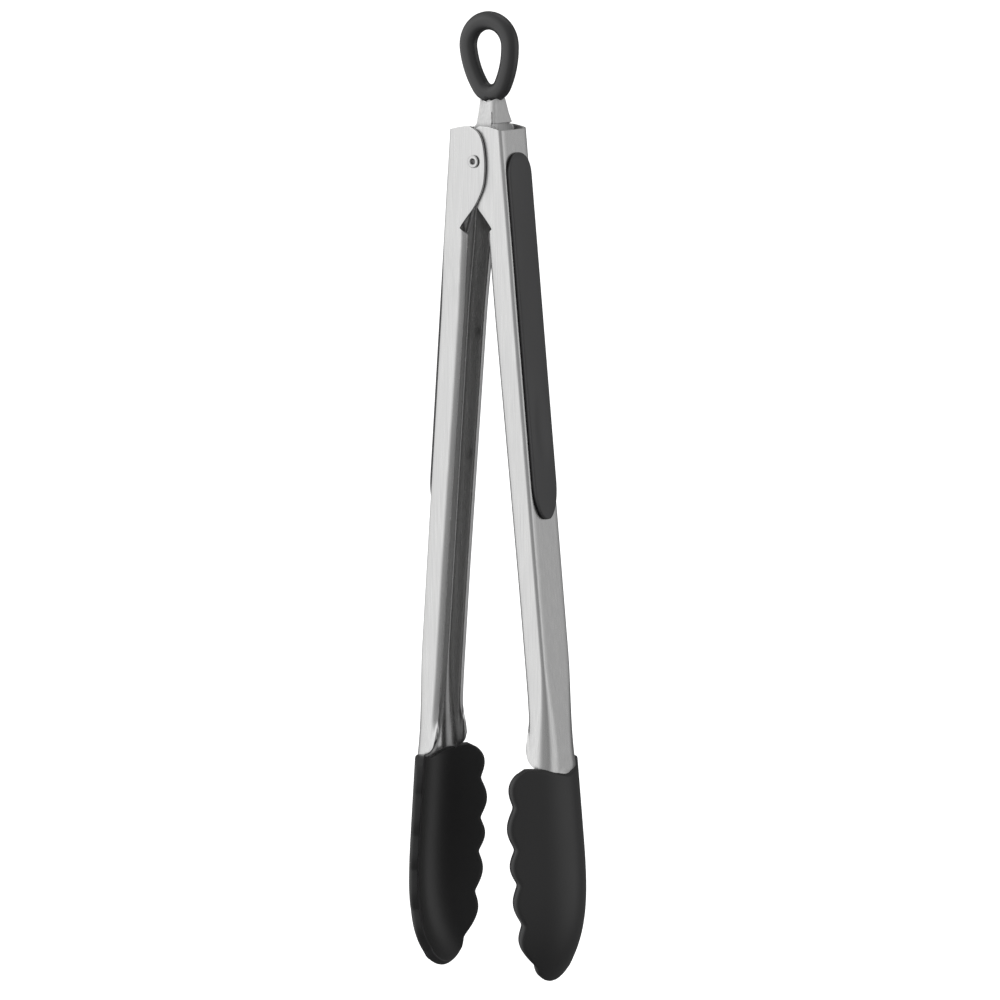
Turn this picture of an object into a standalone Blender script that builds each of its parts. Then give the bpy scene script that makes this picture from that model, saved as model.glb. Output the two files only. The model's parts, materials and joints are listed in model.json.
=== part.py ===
"""Spring loaded kitchen tongs with a pull ring that locks them shut.

Metres, +Z up. The origin is the top of the ring's hole, where the tongs hang on a hook, so the
whole object lies below it. X is the direction in which the arms open, and Y is the pivot's axis.
Each arm is drawn in its own frame, with the pivot at the origin: U points outwards, away from the
other arm, V along the pivot and W up the arm. An empty on the pivot's axis then turns it open.
"""
import math

import bmesh
import bpy
from mathutils import Matrix, Vector

MM = 0.001

# Pivot and opening
HANG_HEIGHT = 46.2 * MM          # from the pivot's axis up to the top of the ring's hole
HALF_OPENING = math.radians(4.84)  # each arm's lean when the tongs are open
CLEARANCE = 0.3 * MM
THROUGH = 40.0 * MM              # a cutter that goes right through the object
SMALL_SIDES = 20                 # sides of studs and of their holes

# Arms: stamped channels
SHEET = 1.0 * MM
WEB_U = 11.6 * MM                # outer face of the web, from the pivot's axis
EDGE_U = 3.8 * MM                # free edge of the cheeks
CORNER = 1.6 * MM
NECK_CORNER = 6.0 * MM           # the web's corners open up towards the head
ARM_TOP = 12.6 * MM
CHEEK_END = -219.9 * MM
PIVOT_HALF_WIDTH = {"inner": 8.6 * MM, "outer": 9.95 * MM}
ARM_HALF_WIDTH = 8.9 * MM
NECK_HALF_WIDTH = 10.7 * MM
LOBE = 4.65 * MM                 # reach of the cheeks past the pivot's axis

# Heads: scalloped silicone dishes moulded over the arm's spade
HEAD_TOP = -216.0 * MM
HEAD_TIP = -297.0 * MM
HEAD_DIP = 7.7 * MM              # how far the top edge drops at the middle
HEAD_HALF_WIDTH = 23.7 * MM
HEAD_WALL = 3.4 * MM
CROWN_U = 13.2 * MM
TIP_CURL = 14.3 * MM
SIDE_SLOPE = 0.68
FLARE_START = 11.9 * MM
SCALLOP_PITCH = 13.6 * MM
SCALLOP_DEPTH = 1.8 * MM
FIRST_LOBE = -224.6 * MM
SPADE_DEPTH = 1.2 * MM           # silicone over the spade's outer face
SPADE_HALF_WIDTH = 15.5 * MM
SPADE_END = -285.0 * MM
TONGUE_TOP = CHEEK_END - 0.7 * MM
POCKET_GAP = 0.4 * MM            # silicone's pocket round the spade

# Grips
GRIP_TOP = 2.0 * MM
GRIP_BOTTOM = -129.0 * MM
GRIP_HALF_WIDTH = 6.9 * MM
GRIP_HEIGHT = 1.3 * MM
BASE_HEIGHT = 0.5 * MM
BASE_INSET = 1.6 * MM
STUD_RADIUS = 1.5 * MM
STUD_W = (-20.0 * MM, -65.0 * MM, -110.0 * MM)

# Pivot pin and spring
PIN_RADIUS = 1.6 * MM
PIN_HOLE = 1.9 * MM
PIN_FLARE = 2.25 * MM
PIN_HALF_LENGTH = 10.8 * MM
PIN_RECESS = (1.05 * MM, 2.0 * MM)
WIRE_RADIUS = 0.7 * MM
COIL_RADIUS = 3.5 * MM
COIL_PITCH = 1.75 * MM
COIL_TURNS = 3
LEG_LENGTH = 29.0 * MM

# Lock tab and ring
TAB_SHEET = 0.9 * MM
TAB_TOP = 20.2 * MM
TAB_WEB_X = 6.5 * MM             # lower edge of the tab's folded web
LOCK_TRAVEL = 7.0 * MM
RING_TUBE = 3.3 * MM
RING_TOP_RADIUS = 8.9 * MM
RING_BOTTOM_RADIUS = 5.5 * MM
RING_BOTTOM_CENTRE = 29.0 * MM   # above the pivot's axis
RING_LEAN = math.radians(3.7)    # the ring leans in the tab, towards the outer arm
CORE_RADIUS = 1.3 * MM
STEM_RADIUS = 2.1 * MM
STEM_BOTTOM = 14.6 * MM

PIVOT = Vector((0.0, 0.0, -HANG_HEIGHT))
SIDES = {"outer": -1, "inner": 1}
FACE_X = (math.pi / 2, 0.0, math.pi / 2)   # a flat outline drawn as (V, W), thick along X
FACE_Y = (math.pi / 2, 0.0, 0.0)           # a flat outline drawn as (U, W), thick along Y


# ---------------------------------------------------------------- scene and materials

def clear_scene():
    for obj in list(bpy.data.objects):
        bpy.data.objects.remove(obj, do_unlink=True)


def new_collection(name):
    collection = bpy.data.collections.new(name)
    bpy.context.scene.collection.children.link(collection)
    return collection


def make_material(name, color, roughness, metallic=0.0):
    material = bpy.data.materials.new(name)
    material.use_nodes = True
    shader = material.node_tree.nodes["Principled BSDF"]
    shader.inputs["Base Color"].default_value = (*color, 1.0)
    shader.inputs["Roughness"].default_value = roughness
    shader.inputs["Metallic"].default_value = metallic
    return material


def add_object(name, data, collection, parent=None):
    obj = bpy.data.objects.new(name, data)
    collection.objects.link(obj)
    if parent:
        obj.parent = parent
    return obj


def add_empty(name, location, turn, collection):
    empty = add_object(name, None, collection)
    empty.location = location
    empty.rotation_euler = (0.0, turn, 0.0)
    return empty


def finish(obj, material, smooth_angle=35.0):
    obj.data.materials.clear()
    obj.data.materials.append(material)
    if obj.type == "MESH":
        obj.data.shade_smooth()
        obj.data.set_sharp_from_angle(angle=math.radians(smooth_angle))
    return obj


# ---------------------------------------------------------------- shape helpers

def sheet_from_rows(name, rows, thickness, collection, parent=None):
    """An open surface through rows of points, with None where a row has no point, made solid.

    The surface is the outer face, and the thickness goes to the side away from +U or -U.
    """
    bm = bmesh.new()
    grid = [[bm.verts.new(p) if p is not None else None for p in row] for row in rows]
    for upper, lower in zip(grid, grid[1:]):
        for i in range(len(upper) - 1):
            corners = (upper[i], upper[i + 1], lower[i + 1], lower[i])
            if None not in corners:
                bm.faces.new(corners)
    bmesh.ops.recalc_face_normals(bm, faces=bm.faces)
    middle = len(rows[0]) // 2
    probe = grid[1][middle].link_faces[0]
    if probe.normal.x * probe.calc_center_median().x < 0:
        bmesh.ops.reverse_faces(bm, faces=bm.faces)
    mesh = bpy.data.meshes.new(name)
    bm.to_mesh(mesh)
    bm.free()
    obj = add_object(name, mesh, collection, parent)
    solidify = obj.modifiers.new("Thickness", "SOLIDIFY")
    solidify.thickness = thickness
    solidify.offset = -1.0
    solidify.use_even_offset = True
    return obj


def flat_outline(name, points, thickness, rotation, centre, collection, parent=None):
    """A filled 2D curve, thickened evenly about its plane."""
    curve = bpy.data.curves.new(name, "CURVE")
    curve.dimensions = "2D"
    curve.fill_mode = "BOTH"
    curve.extrude = thickness / 2
    spline = curve.splines.new("POLY")
    spline.points.add(len(points) - 1)
    for point, (x, y) in zip(spline.points, points):
        point.co = (x, y, 0.0, 1.0)
    spline.use_cyclic_u = True
    obj = add_object(name, curve, collection, parent)
    obj.rotation_euler = rotation
    obj.location = centre
    return obj


def tube(name, points, radius, cyclic, collection, parent=None, resolution=2):
    curve = bpy.data.curves.new(name, "CURVE")
    curve.dimensions = "3D"
    curve.bevel_depth = radius
    curve.bevel_resolution = resolution
    curve.use_fill_caps = not cyclic
    spline = curve.splines.new("POLY")
    spline.points.add(len(points) - 1)
    for point, place in zip(spline.points, points):
        point.co = (*place, 1.0)
    spline.use_cyclic_u = cyclic
    return add_object(name, curve, collection, parent)


def as_mesh(obj):
    """The curve object turned into a closed mesh object with the same name and place."""
    bpy.context.view_layer.update()
    evaluated = obj.evaluated_get(bpy.context.evaluated_depsgraph_get())
    mesh = bpy.data.meshes.new_from_object(evaluated)
    bm = bmesh.new()
    bm.from_mesh(mesh)
    bmesh.ops.remove_doubles(bm, verts=bm.verts, dist=0.00001)
    bmesh.ops.recalc_face_normals(bm, faces=bm.faces)
    bm.to_mesh(mesh)
    bm.free()
    name = obj.name
    parent = obj.parent
    place = obj.matrix_world.copy()
    collection = obj.users_collection[0]
    bpy.data.objects.remove(obj, do_unlink=True)
    solid = add_object(name, mesh, collection, parent)
    solid.matrix_world = place
    return solid


def cylinder(name, radius, length, centre, axis, collection, parent=None, sides=32):
    bm = bmesh.new()
    bmesh.ops.create_cone(bm, cap_ends=True, segments=sides, radius1=radius, radius2=radius,
                          depth=length)
    turn = Vector((0.0, 0.0, 1.0)).rotation_difference(Vector(axis)).to_matrix().to_4x4()
    bmesh.ops.transform(bm, matrix=turn, verts=bm.verts)
    mesh = bpy.data.meshes.new(name)
    bm.to_mesh(mesh)
    bm.free()
    obj = add_object(name, mesh, collection, parent)
    obj.location = centre
    return obj


def combine(target, other, operation, tools):
    """A live Boolean on target; the other object becomes a hidden tool."""
    modifier = target.modifiers.new(other.name, "BOOLEAN")
    modifier.operation = operation
    modifier.object = other
    modifier.solver = "EXACT"
    if other.name not in tools.objects:
        for collection in list(other.users_collection):
            collection.objects.unlink(other)
        tools.objects.link(other)
    other.hide_render = True
    other.display_type = "WIRE"


def blend_between(stations, w):
    """The value at w on a list of (w, value) stations that runs downwards, eased between them."""
    if w >= stations[0][0]:
        return stations[0][1]
    for (w0, v0), (w1, v1) in zip(stations, stations[1:]):
        if w >= w1:
            t = (w0 - w) / (w0 - w1)
            t = t * t * (3 - 2 * t)
            return v0 + (v1 - v0) * t
    return stations[-1][1]


def arc(centre, radius, start, end, steps):
    """Points on an arc, in degrees, both ends included."""
    angles = [math.radians(start + (end - start) * i / steps) for i in range(steps + 1)]
    return [(centre[0] + radius * math.cos(a), centre[1] + radius * math.sin(a)) for a in angles]


# ---------------------------------------------------------------- head and spade surfaces

def head_half_width(w):
    """Half of the head's width at w, without its scallops."""
    corner_radius = 7.0 * MM
    widest_top = -240.0 * MM
    widest_bottom = -248.0 * MM
    if w > widest_top:
        t = (w - widest_top) / (HEAD_TOP - widest_top)
        half = HEAD_HALF_WIDTH * (1 - 0.13 * t * t)
        rise = max(0.0, w - (HEAD_TOP - corner_radius))
        return half - corner_radius + math.sqrt(corner_radius ** 2 - 0.75 * rise ** 2)
    if w < widest_bottom:
        t = min((widest_bottom - w) / (widest_bottom - HEAD_TIP), 0.985)
        return HEAD_HALF_WIDTH * math.sqrt(1 - t ** 2.9)
    return HEAD_HALF_WIDTH


def scallop(w):
    """How far the edge is cut back at w: round lobes that meet in sharp valleys."""
    first_valley = FIRST_LOBE - SCALLOP_PITCH / 2
    last_valley = FIRST_LOBE - SCALLOP_PITCH * 4.5
    if w > first_valley + SCALLOP_PITCH / 2:
        return 0.0
    depth = SCALLOP_DEPTH
    if w < last_valley:
        depth *= 0.4
    wave = abs(math.cos(math.pi * (w - FIRST_LOBE) / SCALLOP_PITCH))
    return depth * (1 - wave)


def dish_drop(v):
    """How far the dish falls from its crown at v: a curved middle and straight flared sides."""
    v = abs(v)
    if v < FLARE_START:
        return SIDE_SLOPE * v * v / (2 * FLARE_START)
    return SIDE_SLOPE * (v - FLARE_START / 2)


def crown(w):
    """Outer face of the head on its centre line, with the tip curled inwards."""
    curl_start = -235.0 * MM
    t = max(0.0, (curl_start - w) / (curl_start - HEAD_TIP))
    return CROWN_U - TIP_CURL * t ** 4


def head_rows(side):
    """Rows of points on the head's outer face, from the top edge to the tip."""
    rows = []
    steps = 52
    columns = 12
    dense = 0.15                     # last part of the length, whose rows close up towards the tip
    dip_length = 0.4                 # part of the length over which the rows straighten out
    for j in range(steps + 1):
        t = j / steps
        if t > 1 - dense:
            t = 1 - dense * ((1 - t) / dense) ** 1.5
        nominal = HEAD_TOP + (HEAD_TIP - HEAD_TOP) * t
        half = head_half_width(nominal) - scallop(nominal)
        fade = max(0.0, 1 - t / dip_length) ** 2
        row = []
        for i in range(columns + 1):
            s = -1 + 2 * i / columns
            v = s * half
            w = nominal - HEAD_DIP * (1 - s * s) * fade
            u = crown(nominal) - dish_drop(v)
            row.append(Vector((side * u, v, w)))
        rows.append(row)
    return rows


def spade_half_width(w):
    stations = [(-219.0 * MM, NECK_HALF_WIDTH - 0.6 * MM), (-240.0 * MM, SPADE_HALF_WIDTH),
                (-262.0 * MM, SPADE_HALF_WIDTH), (SPADE_END, 7.0 * MM)]
    return blend_between(stations, w)


def spade_stations():
    """Heights of the spade's rows, from just under the cheeks to its end."""
    steps = 13
    return [TONGUE_TOP + (SPADE_END - TONGUE_TOP) * j / steps for j in range(steps + 1)]


def spade_point(side, s, w, grow=0.0):
    """A point on the spade's outer face, grown outwards for the pocket that holds it."""
    v = s * (spade_half_width(w) + grow)
    u = crown(w) - dish_drop(v) - SPADE_DEPTH + grow
    return Vector((side * u, v, w))


# ---------------------------------------------------------------- arms

def arm_half_width(kind, w):
    stations = [(-26.0 * MM, PIVOT_HALF_WIDTH[kind]), (-58.0 * MM, ARM_HALF_WIDTH),
                (-178.0 * MM, ARM_HALF_WIDTH), (-219.0 * MM, NECK_HALF_WIDTH)]
    return blend_between(stations, w)


def channel_row(kind, side, w, edge):
    """One row of the channel's outer face: cheek, round corner, web, corner and cheek."""
    half = arm_half_width(kind, w)
    radius = blend_between([(-178.0 * MM, CORNER), (CHEEK_END, NECK_CORNER)], w)
    one_cheek = [(edge, half), ((edge + WEB_U - radius) / 2, half)]
    one_cheek += [(WEB_U - radius + radius * math.sin(math.radians(a)),
                   half - radius + radius * math.cos(math.radians(a))) for a in (0, 30, 60, 90)]
    web = [(WEB_U, (half - radius) * f) for f in (0.5, 0.0, -0.5)]
    section = one_cheek + web + [(u, -v) for u, v in reversed(one_cheek)]
    return [Vector((side * u, v, w)) for u, v in section]


def cheek_trim(side):
    """What is cut off the cheeks' blank above the neck: everything outside their outline."""
    lobe = LOBE / MM
    outline = [(3.74, -31.0), (4.3, -23.8), (1.9, -20.2), (-1.0, -16.3), (-3.0, -12.3), (-4.1, -9.2)]
    outline += [(0.1 - lobe, -6.2), (-lobe, -2.5), (0.3 - lobe, 1.0), (-3.8, 4.3), (-2.8, 7.5)]
    outline += [(-1.9, 9.2), (-0.8, 10.5), (0.9, 11.5), (2.6, 12.2), (6.0, 11.9), (9.4, 10.9)]
    outline += [(13.5, 9.4)]
    outline += [(13.5, 20.0), (-12.0, 20.0), (-12.0, -31.0)]
    return [(side * u * MM, w * MM) for u, w in outline]


def neck_trim(side):
    """The round corner where each cheek ends above the head."""
    radius = 5.0
    low = CHEEK_END / MM - 0.01
    edge = EDGE_U / MM
    outline = [(edge - 2.0, low + radius + 2.0), (edge, low + radius + 2.0)]
    outline += arc((edge + radius, low + radius + 2.0), radius, 180, 262, 7)
    outline += [(edge + radius - 0.8, low - 2.0), (edge - 2.0, low - 2.0)]
    return [(side * u * MM, w * MM) for u, w in outline]


def make_arm(kind, empty, parts, tools, material):
    side = SIDES[kind]
    blank_edge = -LOBE - 1.5 * MM
    rows = []
    upper = [ARM_TOP, 2.0 * MM, -10.0 * MM, -18.0 * MM, -26.0 * MM]
    lower = [-31.0, -42.0, -50.0, -58.0, -120.0, -182.0, -190.0, -199.0, -208.0, -216.0]
    for w in upper:
        rows.append(channel_row(kind, side, w, blank_edge))
    for w in lower:
        rows.append(channel_row(kind, side, w * MM, EDGE_U))
    rows.append(channel_row(kind, side, CHEEK_END, EDGE_U))
    for w in spade_stations():
        tongue = [spade_point(side, 1 - i / 4, w) for i in range(9)]
        rows.append([None] * 3 + tongue + [None] * 3)
    arm = sheet_from_rows(kind + "_arm", rows, SHEET, parts, empty)

    trim = flat_outline(kind + "_cheek_trim", cheek_trim(side), THROUGH, FACE_Y, (0, 0, 0), tools,
                        empty)
    combine(arm, as_mesh(trim), "DIFFERENCE", tools)
    trim = flat_outline(kind + "_neck_trim", neck_trim(side), THROUGH, FACE_Y, (0, 0, 0), tools, empty)
    combine(arm, as_mesh(trim), "DIFFERENCE", tools)
    hole = cylinder(kind + "_pin_hole", PIN_HOLE, THROUGH, (0, 0, 0), (0, 1, 0), tools, empty)
    combine(arm, hole, "DIFFERENCE", tools)
    for k, w in enumerate(STUD_W):
        hole = cylinder(f"{kind}_stud_hole_{k}", STUD_RADIUS + CLEARANCE, 6 * MM,
                        (side * WEB_U, 0, w), (1, 0, 0), tools, empty, SMALL_SIDES)
        combine(arm, hole, "DIFFERENCE", tools)
    return finish(arm, material)


def make_head(kind, empty, parts, tools, material):
    side = SIDES[kind]
    head = sheet_from_rows(kind + "_head", head_rows(side), HEAD_WALL, parts, empty)
    stations = [TONGUE_TOP + 3.0 * MM] + spade_stations()
    stations[-1] -= POCKET_GAP
    rows = [[spade_point(side, 1 - i / 4, w, POCKET_GAP) for i in range(9)] for w in stations]
    pocket = sheet_from_rows(kind + "_head_pocket", rows, SHEET + 2 * POCKET_GAP, tools, empty)
    combine(head, pocket, "DIFFERENCE", tools)
    return finish(head, material)


# ---------------------------------------------------------------- grips

def grip_outline(inset):
    """A long outline with a round top and a slimmer round bottom, as (V, W)."""
    half = GRIP_HALF_WIDTH - inset
    top = GRIP_TOP - inset
    bottom = GRIP_BOTTOM + inset
    top_reach = 8.0 * MM
    bottom_reach = 13.0 * MM
    points = []
    for i in range(13):
        a = math.pi * i / 12
        points.append((half * math.cos(a), top - top_reach + top_reach * math.sin(a)))
    for i in range(13):
        a = math.pi + math.pi * i / 12
        points.append((half * math.cos(a), bottom + bottom_reach + bottom_reach * math.sin(a)))
    return points


def make_grip(kind, empty, parts, tools, skin_material, base_material):
    side = SIDES[kind]
    under = WEB_U + CLEARANCE
    base = flat_outline(kind + "_grip_base", grip_outline(BASE_INSET), BASE_HEIGHT, FACE_X,
                        (side * (under + BASE_HEIGHT / 2), 0, 0), parts, empty)
    base = as_mesh(base)
    for k, w in enumerate(STUD_W):
        low = WEB_U - SHEET - 0.8 * MM
        stud = cylinder(f"{kind}_stud_{k}", STUD_RADIUS, under + 0.3 * MM - low,
                        (side * (under + 0.3 * MM + low) / 2, 0, w), (1, 0, 0), tools, empty, SMALL_SIDES)
        combine(base, stud, "UNION", tools)
    finish(base, base_material)

    skin = flat_outline(kind + "_grip", grip_outline(0.0), GRIP_HEIGHT, FACE_X,
                        (side * (under + GRIP_HEIGHT / 2), 0, 0), parts, empty)
    skin = as_mesh(skin)
    bevel = skin.modifiers.new("Round edge", "BEVEL")
    bevel.width = 0.7 * MM
    bevel.segments = 2
    bevel.limit_method = "ANGLE"
    bevel.angle_limit = math.radians(60)
    pocket = flat_outline(kind + "_grip_pocket", grip_outline(BASE_INSET - CLEARANCE),
                          2 * (BASE_HEIGHT + CLEARANCE), FACE_X, (side * under, 0, 0), tools, empty)
    combine(skin, as_mesh(pocket), "DIFFERENCE", tools)
    finish(skin, skin_material)


# ---------------------------------------------------------------- pivot and spring

def make_rivet(empty, parts, material):
    """A turned pin with flared ends, hollow at both ends."""
    recess, depth = PIN_RECESS
    neck = 0.35 * MM
    profile = [(0.0, PIN_HALF_LENGTH - depth), (recess * 0.7, PIN_HALF_LENGTH - depth),
               (recess, PIN_HALF_LENGTH - 0.15 * MM), (recess + 0.2 * MM, PIN_HALF_LENGTH),
               (PIN_FLARE - 0.3 * MM, PIN_HALF_LENGTH), (PIN_FLARE, PIN_HALF_LENGTH - 0.2 * MM),
               (PIN_FLARE, PIN_HALF_LENGTH - neck), (PIN_RADIUS, PIN_HALF_LENGTH - neck)]
    profile += [(x, -z) for x, z in reversed(profile)]
    mesh = bpy.data.meshes.new("pivot_rivet")
    mesh.from_pydata([(x, 0.0, z) for x, z in profile],
                     [(i, i + 1) for i in range(len(profile) - 1)], [])
    rivet = add_object("pivot_rivet", mesh, parts, empty)
    rivet.rotation_euler = (math.pi / 2, 0.0, 0.0)
    screw = rivet.modifiers.new("Turn", "SCREW")
    screw.axis = "Z"
    screw.steps = 32
    screw.render_steps = 32
    screw.use_merge_vertices = True
    screw.merge_threshold = 0.00001
    return finish(rivet, material)


def make_spring(empty, parts, material):
    """A coil round the pin with a straight leg down inside each arm's web."""
    lean = math.radians(17.5)
    turn = math.pi - 2 * lean + COIL_TURNS * 2 * math.pi
    half = COIL_PITCH * turn / (4 * math.pi)
    steps = 14 * (COIL_TURNS + 1)
    coil = []
    for i in range(steps + 1):
        a = lean + turn * i / steps
        y = -half + 2 * half * i / steps
        coil.append(Vector((COIL_RADIUS * math.cos(a), y, COIL_RADIUS * math.sin(a))))
    down = Vector((math.sin(lean), 0.0, -math.cos(lean)))
    mirrored = Vector((-math.sin(lean), 0.0, -math.cos(lean)))
    first = [coil[0] + down * LEG_LENGTH, coil[0] + down * LEG_LENGTH * 0.5]
    last = [coil[-1] + mirrored * LEG_LENGTH * 0.5, coil[-1] + mirrored * LEG_LENGTH]
    spring = tube("torsion_spring", first + coil + last, WIRE_RADIUS, False, parts, empty)
    return finish(spring, material)


# ---------------------------------------------------------------- lock tab and ring

def make_lock_tab(empty, parts, tools, material):
    """A folded steel tab: a short web on the right and two flanges with slots on the pin."""
    web_bottom = 13.3
    stations = [(TAB_TOP / MM, 4.1, -0.95, 5.0), (17.5, 4.9, -1.1, 5.6),
                (web_bottom, 6.1, -1.3, TAB_WEB_X / MM), (9.0, 6.1, -4.2, 6.6),
                (4.5, 6.1, -9.6, 9.6), (-8.5, 6.1, -9.6, 9.6), (-12.0, 6.1, -6.0, 6.0)]
    rows = []
    for z, half, left, right in stations:
        flange = [(left + (right - left) * f, half) for f in (0.0, 0.5, 1.0)]
        if z >= web_bottom:
            middle = [(right, half * f) for f in (0.5, 0.0, -0.5)]
        else:
            middle = [None] * 3
        section = flange + middle + [(x, -y) for x, y in reversed(flange)]
        rows.append([Vector((p[0] * MM, p[1] * MM, z * MM)) if p else None for p in section])
    tab = sheet_from_rows("lock_tab", rows, TAB_SHEET, parts, empty)

    slot = arc((0.0, 0.0), 1.95, 0, 180, 11) + arc((0.0, -LOCK_TRAVEL / MM), 1.95, 180, 360, 11)
    slot = flat_outline("pin_slot", [(x * MM, z * MM) for x, z in slot], THROUGH, FACE_Y, (0, 0, 0),
                        tools, empty)
    combine(tab, as_mesh(slot), "DIFFERENCE", tools)
    for sign, end in ((-1, "front"), (1, "back")):
        slit = [(sign * 4.05, 12.4), (sign * 4.60, 12.4), (sign * 3.62, 17.0), (sign * 3.07, 17.0)]
        slit = flat_outline(end + "_slit", [(y * MM, z * MM) for y, z in slit], 3 * MM, FACE_X,
                            (TAB_WEB_X, 0, 0), tools, empty)
        combine(tab, as_mesh(slit), "DIFFERENCE", tools)
    return finish(tab, material)


def ring_line():
    """The ring's centre line: a large arc on top and a small one below, joined by straights."""
    top_centre = HANG_HEIGHT + RING_TUBE - RING_TOP_RADIUS
    spread = top_centre - RING_BOTTOM_CENTRE
    side = math.degrees(math.asin((RING_TOP_RADIUS - RING_BOTTOM_RADIUS) / spread))
    line = arc((0.0, top_centre), RING_TOP_RADIUS, -side, 180 + side, 18)
    line += arc((0.0, RING_BOTTOM_CENTRE), RING_BOTTOM_RADIUS, 180 + side, 360 - side, 10)
    lean = Matrix.Rotation(-RING_LEAN, 3, "Y")
    hook = Vector((0.0, 0.0, HANG_HEIGHT))
    return [hook + lean @ (Vector((x, 0.0, z)) - hook) for x, z in line]


def make_ring(empty, parts, tools, ring_material, core_material):
    line = ring_line()
    loop_bottom = min(point.z for point in line)
    stem_x = (HANG_HEIGHT - loop_bottom) * math.tan(RING_LEAN)
    core = as_mesh(tube("ring_core", line, CORE_RADIUS, True, parts, empty))
    length = loop_bottom - STEM_BOTTOM
    stem = cylinder("ring_stem", STEM_RADIUS, length, (stem_x, 0, STEM_BOTTOM + length / 2), (0, 0, 1),
                    tools, empty, SMALL_SIDES)
    combine(core, stem, "UNION", tools)
    finish(core, core_material)

    ring = as_mesh(tube("pull_ring", line, RING_TUBE, True, parts, empty, 4))
    groove = as_mesh(tube("core_room", line, CORE_RADIUS + CLEARANCE, True, tools, empty))
    well_top = loop_bottom + CLEARANCE
    well_bottom = STEM_BOTTOM
    well = cylinder("stem_room", STEM_RADIUS + CLEARANCE, well_top - well_bottom,
                    (stem_x, 0, (well_top + well_bottom) / 2), (0, 0, 1), tools, empty, SMALL_SIDES)
    combine(ring, groove, "DIFFERENCE", tools)
    combine(ring, well, "DIFFERENCE", tools)
    return finish(ring, ring_material, 60.0)


# ---------------------------------------------------------------- assembly

def main():
    clear_scene()
    parts = new_collection("kitchen_tongs")
    tools = new_collection("cutters")
    steel = make_material("stainless_steel", (0.62, 0.62, 0.61), 0.30, 1.0)
    silicone = make_material("black_silicone", (0.035, 0.035, 0.037), 0.45)
    grip_skin = make_material("grip_elastomer", (0.07, 0.07, 0.075), 0.60)
    nylon = make_material("grip_nylon", (0.03, 0.03, 0.03), 0.50)
    rubber = make_material("ring_rubber", (0.045, 0.045, 0.048), 0.50)
    wire = make_material("spring_wire", (0.50, 0.50, 0.50), 0.35, 1.0)

    centre = add_empty("pivot_axis", PIVOT, 0.0, parts)
    for kind, side in SIDES.items():
        hinge = add_empty(kind + "_arm_axis", PIVOT, -side * HALF_OPENING, parts)
        make_arm(kind, hinge, parts, tools, steel)
        make_head(kind, hinge, parts, tools, silicone)
        make_grip(kind, hinge, parts, tools, grip_skin, nylon)
    make_rivet(centre, parts, steel)
    make_spring(centre, parts, wire)
    slide = add_empty("lock_slide_axis", PIVOT, 0.0, parts)
    make_lock_tab(slide, parts, tools, steel)
    make_ring(slide, parts, tools, rubber, steel)


main()
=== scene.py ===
import json
import math

import bpy
from mathutils import Matrix, Vector


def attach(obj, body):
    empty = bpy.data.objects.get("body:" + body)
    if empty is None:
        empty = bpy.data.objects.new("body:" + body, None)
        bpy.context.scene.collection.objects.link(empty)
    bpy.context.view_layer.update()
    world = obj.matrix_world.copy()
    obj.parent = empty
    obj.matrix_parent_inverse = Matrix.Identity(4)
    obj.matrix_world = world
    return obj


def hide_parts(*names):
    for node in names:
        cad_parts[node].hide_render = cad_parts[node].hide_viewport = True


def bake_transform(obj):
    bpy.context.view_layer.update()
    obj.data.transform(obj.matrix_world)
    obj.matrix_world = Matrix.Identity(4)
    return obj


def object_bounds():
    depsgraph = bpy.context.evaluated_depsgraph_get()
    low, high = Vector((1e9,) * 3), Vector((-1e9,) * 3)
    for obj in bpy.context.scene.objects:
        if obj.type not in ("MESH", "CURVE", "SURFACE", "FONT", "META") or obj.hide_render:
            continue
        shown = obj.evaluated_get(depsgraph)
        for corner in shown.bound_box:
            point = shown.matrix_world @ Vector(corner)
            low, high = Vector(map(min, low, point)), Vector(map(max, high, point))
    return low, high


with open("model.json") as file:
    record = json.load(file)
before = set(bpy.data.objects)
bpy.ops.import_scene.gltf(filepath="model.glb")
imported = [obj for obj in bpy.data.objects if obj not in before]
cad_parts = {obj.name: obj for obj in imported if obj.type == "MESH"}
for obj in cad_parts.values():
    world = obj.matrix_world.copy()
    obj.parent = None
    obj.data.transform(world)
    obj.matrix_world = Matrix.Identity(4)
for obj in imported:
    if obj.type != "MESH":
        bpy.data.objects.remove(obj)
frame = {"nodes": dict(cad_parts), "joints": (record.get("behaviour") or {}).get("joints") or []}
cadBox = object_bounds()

mm = 0.001
pivotHeight = frame["joints"][1]["pos_m"][2]   # the pin's height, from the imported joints
pivotPoint = Vector((0.0, 0.0, pivotHeight))
armLean = math.radians(4.84)                   # each arm's lean when the tongs are open
sides = {"outer": -1, "inner": 1}              # which way each arm's web faces along X
sharpAngle = math.radians(60)                  # edges sharper than this get a fine round


# working habits: selection, modes and modifiers

def clearSelection():
    if bpy.context.object and bpy.context.object.mode != "OBJECT":
        bpy.ops.object.mode_set(mode="OBJECT")
    bpy.ops.object.select_all(action="DESELECT")


def workOn(piece):
    clearSelection()
    piece.select_set(True)
    bpy.context.view_layer.objects.active = piece


def applied(piece, kind, **settings):
    # adds one modifier and applies it at once
    workOn(piece)
    modifier = piece.modifiers.new(kind.title(), kind)
    for key, value in settings.items():
        setattr(modifier, key, value)
    bpy.ops.object.modifier_apply(modifier=modifier.name)


def softEdges(piece, width):
    # a fine round along every sharp edge of a sheet
    applied(piece, "BEVEL", width=width, segments=2, limit_method="ANGLE", angle_limit=sharpAngle,
            use_clamp_overlap=True)


def cutWith(piece, cutter):
    applied(piece, "BOOLEAN", operation="DIFFERENCE", object=cutter, solver="EXACT")
    bpy.data.objects.remove(cutter, do_unlink=True)


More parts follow.
